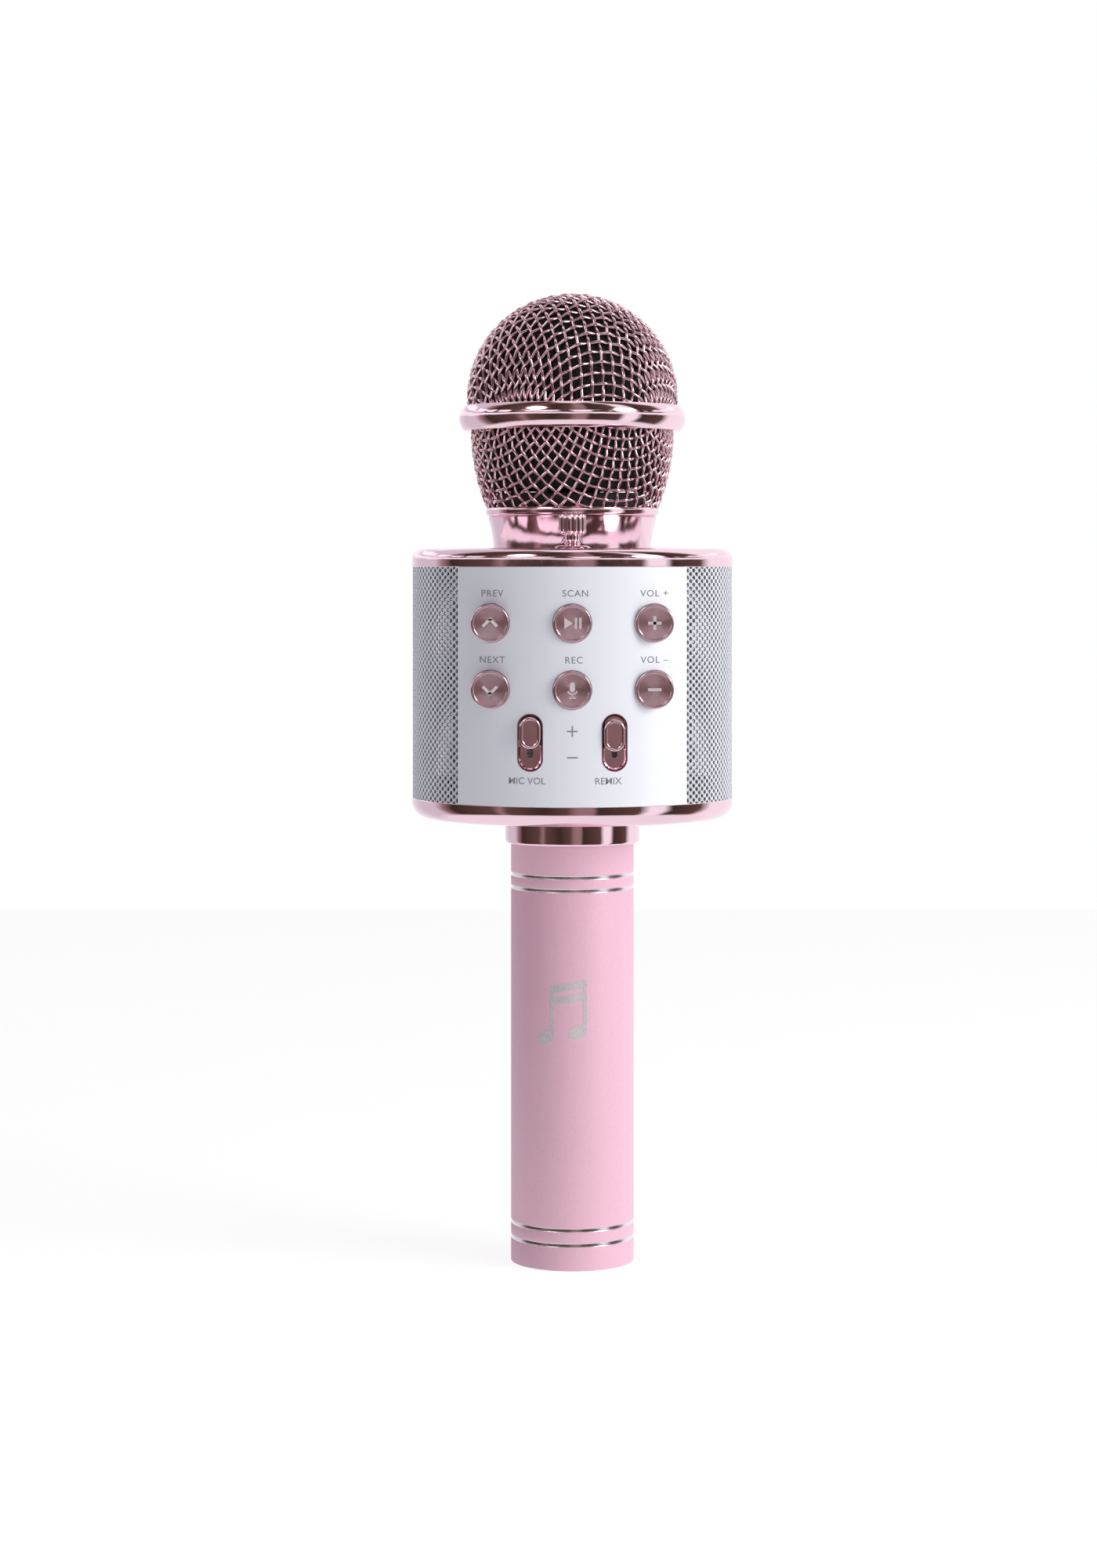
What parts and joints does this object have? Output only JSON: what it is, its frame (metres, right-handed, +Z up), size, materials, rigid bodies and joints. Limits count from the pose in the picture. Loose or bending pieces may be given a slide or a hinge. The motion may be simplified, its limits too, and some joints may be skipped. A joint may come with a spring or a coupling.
{
  "type": "toy karaoke microphone",
  "caption": "Hand-held toy microphone with a wire-mesh head, a drum loudspeaker body with push buttons and volume sliders, and a painted handle.",
  "frame": {"origin": "centre of the handle's flat end", "axes": "+Z up the axis to the top of the mesh head; the front panel with the buttons faces -Y; +X is to the right of someone facing the panel"},
  "size_m": [0.0846, 0.0861, 0.255],
  "materials": {
    "pink_paint": "satin metallic pink paint",
    "rose_plate": "polished rose plating",
    "bright_wire": "bright plated steel wire mesh",
    "white_panel": "pearl white moulding",
    "grille_steel": "perforated steel sheet",
    "black_foam": "open-cell foam",
    "black_plastic": "moulded",
    "circuit_board": "solder-masked laminate",
    "zinc_steel": "zinc-plated",
    "socket_steel": "tinned sheet",
    "switch_plastic": "moulded",
    "cell_wrap": "shrink sleeve",
    "wire_sleeve": "soft sleeve",
    "ribbon_film": "flat film cable",
    "speaker_steel": "black painted pressing",
    "speaker_paper": "coated paper",
    "magnet_ferrite": "sintered ferrite",
    "boot_rubber": "soft",
    "capsule_metal": "drawn can",
    "light_clear": "clear moulding"
  },
  "bodies": {
    "casing": {"handle_tube": "pink_paint", "collar": "rose_plate", "end_plug": "black_plastic", "battery_cradle": "black_plastic", "battery_cell": "cell_wrap", "battery_leads": "wire_sleeve", "bottom_cap": "rose_plate", "top_cap": "rose_plate", "lower_frame": "black_plastic", "upper_frame": "black_plastic", "frame_screws": "zinc_steel", "left_grille": "grille_steel", "right_grille": "grille_steel", "front_panel": "white_panel", "rear_panel": "white_panel", "key_board": "circuit_board", "tact_switches": "switch_plastic", "board_screws": "zinc_steel", "mic_volume_tray": "rose_plate", "remix_tray": "rose_plate", "slide_pots": "socket_steel", "key_ribbon": "ribbon_film", "main_board": "circuit_board", "usb_socket": "socket_steel", "charge_socket": "socket_steel", "card_socket": "socket_steel", "aux_jack": "switch_plastic", "power_switch": "switch_plastic", "light_pipe": "light_clear", "speaker_screws": "zinc_steel", "speaker_leads": "wire_sleeve", "neck": "rose_plate", "strap_post": "rose_plate", "capsule_stem": "black_plastic", "capsule_boot": "boot_rubber", "capsule": "capsule_metal", "capsule_lead": "wire_sleeve", "left_speaker_baffle": "black_plastic", "left_speaker_basket": "speaker_steel", "left_speaker_magnet": "magnet_ferrite", "left_speaker_cone": "speaker_paper", "right_speaker_baffle": "black_plastic", "right_speaker_basket": "speaker_steel", "right_speaker_magnet": "magnet_ferrite", "right_speaker_cone": "speaker_paper"},
    "previous_button": {"previous_button": "rose_plate"},
    "play_button": {"play_button": "rose_plate"},
    "volume_up_button": {"volume_up_button": "rose_plate"},
    "next_button": {"next_button": "rose_plate"},
    "record_button": {"record_button": "rose_plate"},
    "volume_down_button": {"volume_down_button": "rose_plate"},
    "mic_volume_slider": {"mic_volume_knob": "rose_plate"},
    "remix_slider": {"remix_knob": "rose_plate"},
    "power_slider": {"power_knob": "switch_plastic"},
    "head": {"head_rim": "rose_plate", "mesh_cup": "bright_wire", "head_ring": "rose_plate", "mesh_dome": "bright_wire", "foam_windscreen": "black_foam"}
  },
  "joints": [
    {"name": "previous_press", "type": "slide", "parent": "casing", "child": "previous_button", "axis": [0, 1, 0], "range_m": [0, 0.0005], "stiffness_N_per_m": 1600, "springref_m": -0.0003},
    {"name": "play_press", "type": "slide", "parent": "casing", "child": "play_button", "axis": [0, 1, 0], "range_m": [0, 0.0005], "stiffness_N_per_m": 1600, "springref_m": -0.0003},
    {"name": "volume_up_press", "type": "slide", "parent": "casing", "child": "volume_up_button", "axis": [0, 1, 0], "range_m": [0, 0.0005], "stiffness_N_per_m": 1600, "springref_m": -0.0003},
    {"name": "next_press", "type": "slide", "parent": "casing", "child": "next_button", "axis": [0, 1, 0], "range_m": [0, 0.0005], "stiffness_N_per_m": 1600, "springref_m": -0.0003},
    {"name": "record_press", "type": "slide", "parent": "casing", "child": "record_button", "axis": [0, 1, 0], "range_m": [0, 0.0005], "stiffness_N_per_m": 1600, "springref_m": -0.0003},
    {"name": "volume_down_press", "type": "slide", "parent": "casing", "child": "volume_down_button", "axis": [0, 1, 0], "range_m": [0, 0.0005], "stiffness_N_per_m": 1600, "springref_m": -0.0003},
    {"name": "mic_volume_slide", "type": "slide", "parent": "casing", "child": "mic_volume_slider", "axis": [0, 0, 1], "range_m": [-0.005, 0]},
    {"name": "remix_slide", "type": "slide", "parent": "casing", "child": "remix_slider", "axis": [0, 0, 1], "range_m": [-0.00435, 0.00065]},
    {"name": "power_slide", "type": "slide", "parent": "casing", "child": "power_slider", "axis": [1, 0, 0], "range_m": [0, 0.003]},
    {"name": "head_lift", "type": "slide", "parent": "casing", "child": "head", "axis": [0, 0, 1], "range_m": [0, 0.05]}
  ]
}
